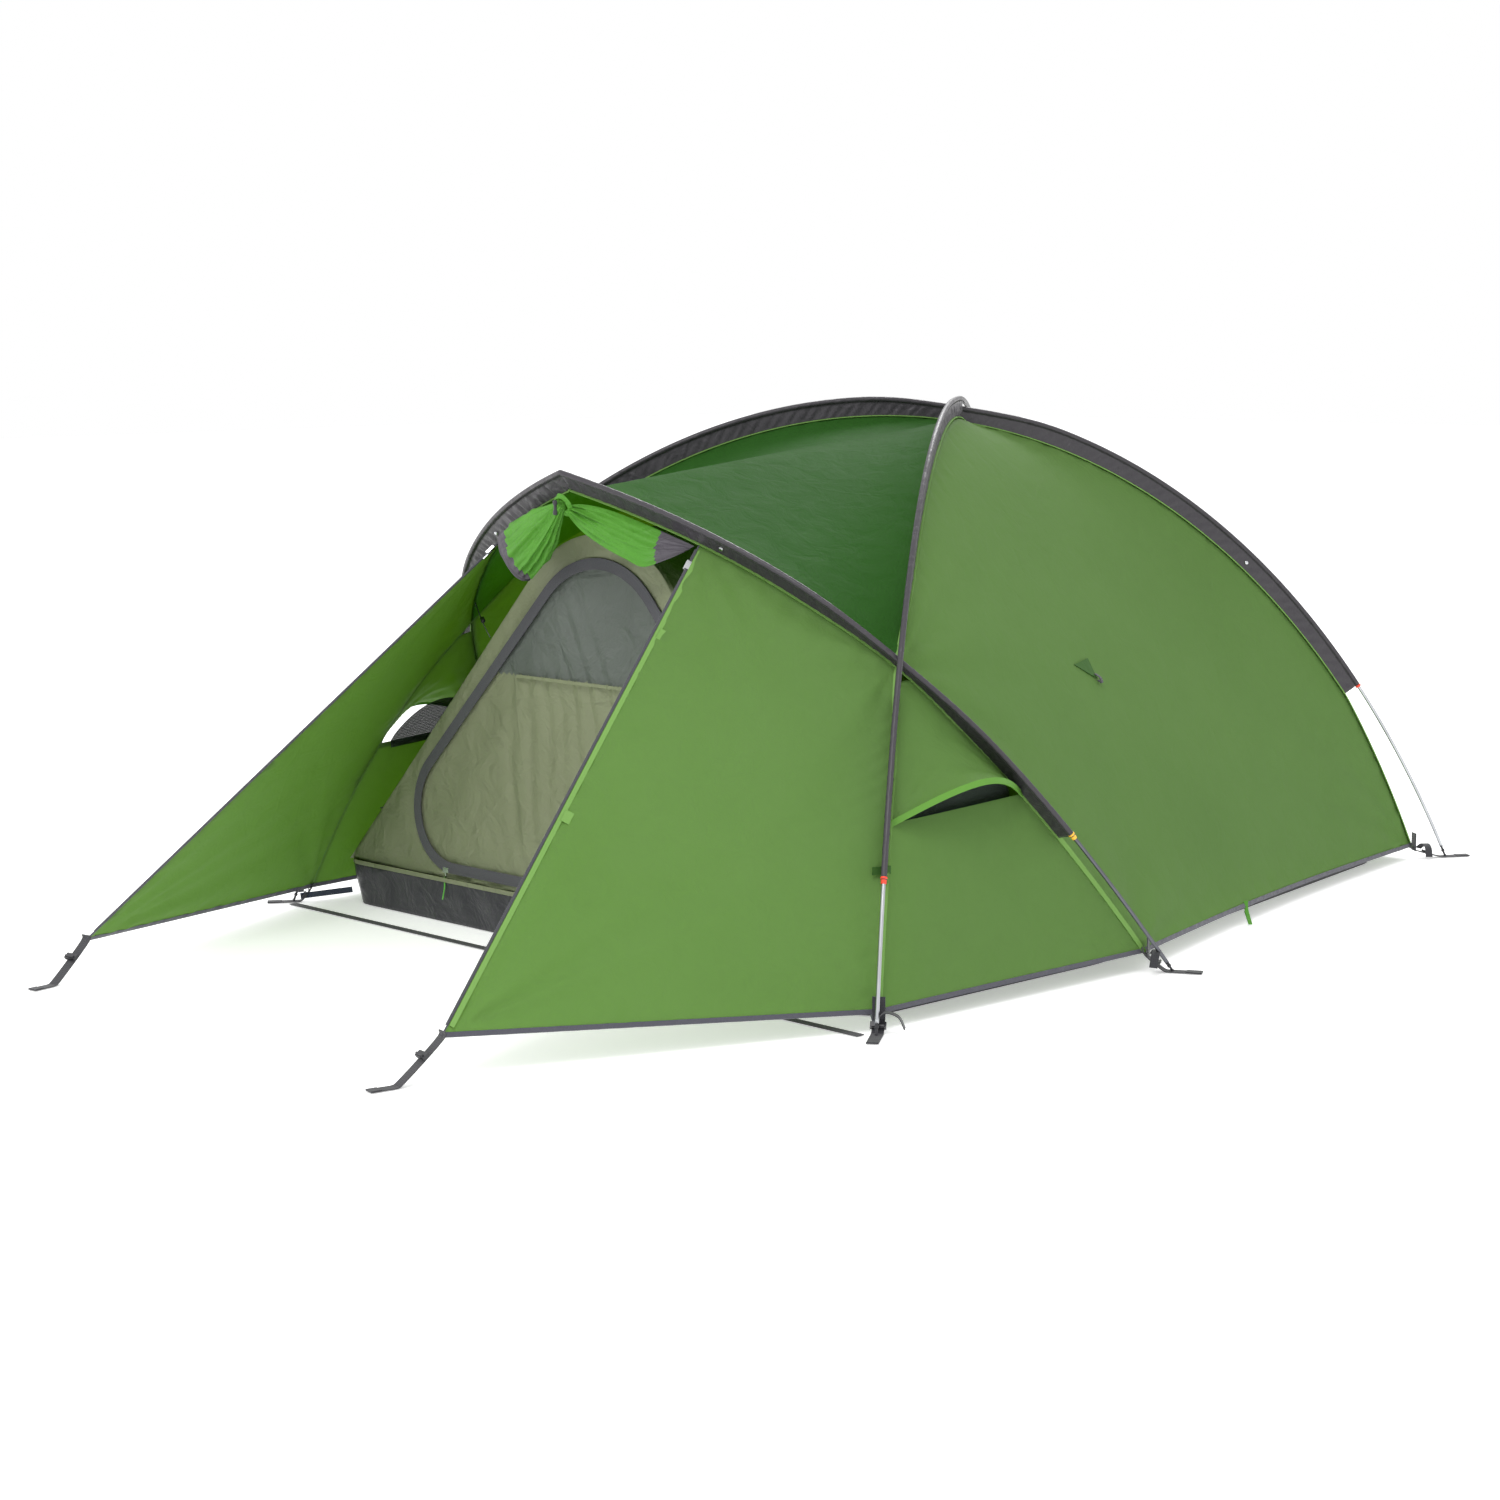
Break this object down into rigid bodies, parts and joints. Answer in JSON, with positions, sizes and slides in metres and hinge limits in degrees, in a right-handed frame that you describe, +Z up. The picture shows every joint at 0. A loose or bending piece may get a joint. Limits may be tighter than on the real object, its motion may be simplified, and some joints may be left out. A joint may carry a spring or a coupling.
{
  "type": "trekking dome tent",
  "caption": "Semi-geodesic dome tent: crossed dome poles and a pre-bent porch arch in outside sleeves, green flysheet open at a porch, khaki inner with bathtub floor.",
  "frame": {"origin": "on the ground under the middle of the tent, at the underside of the bathtub floor", "axes": "+Z up; the porch and door face -Y; +X is to the right of someone looking in along +Y"},
  "size_m": [2.203, 3.431, 1.2087],
  "materials": {
    "pole_metal": "anodised aluminium tube",
    "tip_plastic": "moulded black plastic",
    "sleeve_fabric": "charcoal grey ripstop polyester",
    "side_fabric": "mid-green coated polyester, fine plain weave, soft sheen",
    "roof_fabric": "dark green coated polyester, fine plain weave",
    "door_fabric": "bright green coated polyester, crumpled where rolled",
    "zip_tape": "dark grey coil zip on woven tape",
    "slider_metal": "bright die-cast zip slider",
    "inner_fabric": "khaki breathable polyester",
    "groundsheet": "dark grey coated polyester, slight sheen",
    "net": "fine black insect netting",
    "webbing": "black woven polyester webbing",
    "buckle_plastic": "black moulded acetal"
  },
  "bodies": {
    "tent": {"dome_pole_a_first_end": "pole_metal", "dome_pole_a_middle": "pole_metal", "dome_pole_a_second_end": "pole_metal", "dome_pole_a_first_tip": "tip_plastic", "dome_pole_a_second_tip": "tip_plastic", "dome_pole_b_first_end": "pole_metal", "dome_pole_b_middle": "pole_metal", "dome_pole_b_second_end": "pole_metal", "dome_pole_b_first_tip": "tip_plastic", "dome_pole_b_second_tip": "tip_plastic", "porch_pole_first_end": "pole_metal", "porch_pole_middle": "pole_metal", "porch_pole_second_end": "pole_metal", "porch_pole_first_tip": "tip_plastic", "porch_pole_second_tip": "tip_plastic", "sleeve_a": "sleeve_fabric", "sleeve_b": "sleeve_fabric", "porch_sleeve": "sleeve_fabric", "fly_roof_front": "roof_fabric", "fly_rear_wall": "side_fabric", "fly_side_right": "side_fabric", "vent_hood_right": "side_fabric", "fly_lower_right": "side_fabric", "fly_porch_right": "side_fabric", "vent_net_right": "net", "porch_zip_right": "zip_tape", "inner_side_right": "inner_fabric", "front_foot_right_strap": "webbing", "arch_foot_right_strap": "webbing", "rear_foot_right_strap": "webbing", "porch_peg_right_strap": "webbing", "fly_side_left": "side_fabric", "vent_hood_left": "side_fabric", "fly_lower_left": "side_fabric", "fly_porch_left": "side_fabric", "vent_net_left": "net", "porch_zip_left": "zip_tape", "inner_side_left": "inner_fabric", "front_foot_left_strap": "webbing", "arch_foot_left_strap": "webbing", "rear_foot_left_strap": "webbing", "porch_peg_left_strap": "webbing", "porch_door_roll": "door_fabric", "inner_front_wall": "inner_fabric", "inner_rear_wall": "inner_fabric", "bathtub_floor": "groundsheet", "front_base_strap": "webbing"},
    "inner_door": {"inner_door": "inner_fabric"},
    "inner_zip_slider": {"inner_zip_slider": "slider_metal"},
    "porch_zip_slider_right": {"porch_zip_slider_right": "slider_metal"},
    "porch_zip_slider_left": {"porch_zip_slider_left": "slider_metal"},
    "door_tie_toggle": {"door_tie_toggle": "buckle_plastic"},
    "front_foot_right_buckle": {"front_foot_right_buckle": "buckle_plastic"},
    "arch_foot_right_buckle": {"arch_foot_right_buckle": "buckle_plastic"},
    "rear_foot_right_buckle": {"rear_foot_right_buckle": "buckle_plastic"},
    "porch_peg_right_buckle": {"porch_peg_right_buckle": "buckle_plastic"},
    "front_foot_left_buckle": {"front_foot_left_buckle": "buckle_plastic"},
    "arch_foot_left_buckle": {"arch_foot_left_buckle": "buckle_plastic"},
    "rear_foot_left_buckle": {"rear_foot_left_buckle": "buckle_plastic"},
    "porch_peg_left_buckle": {"porch_peg_left_buckle": "buckle_plastic"}
  },
  "joints": [
    {"name": "inner_door_swing", "type": "hinge", "parent": "tent", "child": "inner_door", "pos_m": [0.5764, -1.0942, 0.3743], "axis": [0.6858, -0.0501, -0.7261], "range_deg": [0, 60]},
    {"name": "inner_zip_run", "type": "hinge", "parent": "tent", "child": "inner_zip_slider", "pos_m": [-0.468, -1.1012, 0.27235], "axis": [0, 0.9976, -0.0688], "range_deg": [0, 125]},
    {"name": "porch_zip_run_right", "type": "slide", "parent": "tent", "child": "porch_zip_slider_right", "axis": [0.2299, -0.7301, -0.6435], "range_m": [0, 1.18]},
    {"name": "porch_zip_run_left", "type": "slide", "parent": "tent", "child": "porch_zip_slider_left", "axis": [-0.2299, -0.7301, -0.6435], "range_m": [0, 1.18]},
    {"name": "door_toggle_turn", "type": "hinge", "parent": "tent", "child": "door_tie_toggle", "pos_m": [0, -1.1852, 0.9934], "axis": [0, 1, 0], "range_deg": [-90, 90]},
    {"name": "front_foot_right_adjust", "type": "slide", "parent": "tent", "child": "front_foot_right_buckle", "axis": [0.372, -0.5225, -0.7672], "range_m": [-0.006, 0.006]},
    {"name": "arch_foot_right_adjust", "type": "slide", "parent": "tent", "child": "arch_foot_right_buckle", "axis": [0.6798, 0.3655, -0.6358], "range_m": [-0.012, 0.01]},
    {"name": "rear_foot_right_adjust", "type": "slide", "parent": "tent", "child": "rear_foot_right_buckle", "axis": [0.5383, 0.7823, -0.3134], "range_m": [-0.02, 0.014]},
    {"name": "porch_peg_right_adjust", "type": "slide", "parent": "tent", "child": "porch_peg_right_buckle", "axis": [-0.1425, -0.7919, -0.5937], "range_m": [-0.022, 0.06]},
    {"name": "front_foot_left_adjust", "type": "slide", "parent": "tent", "child": "front_foot_left_buckle", "axis": [-0.372, -0.5225, -0.7672], "range_m": [-0.006, 0.006]},
    {"name": "arch_foot_left_adjust", "type": "slide", "parent": "tent", "child": "arch_foot_left_buckle", "axis": [-0.6798, 0.3655, -0.6358], "range_m": [-0.012, 0.01]},
    {"name": "rear_foot_left_adjust", "type": "slide", "parent": "tent", "child": "rear_foot_left_buckle", "axis": [-0.5383, 0.7823, -0.3134], "range_m": [-0.02, 0.014]},
    {"name": "porch_peg_left_adjust", "type": "slide", "parent": "tent", "child": "porch_peg_left_buckle", "axis": [0.1425, -0.7919, -0.5937], "range_m": [-0.022, 0.06]}
  ]
}
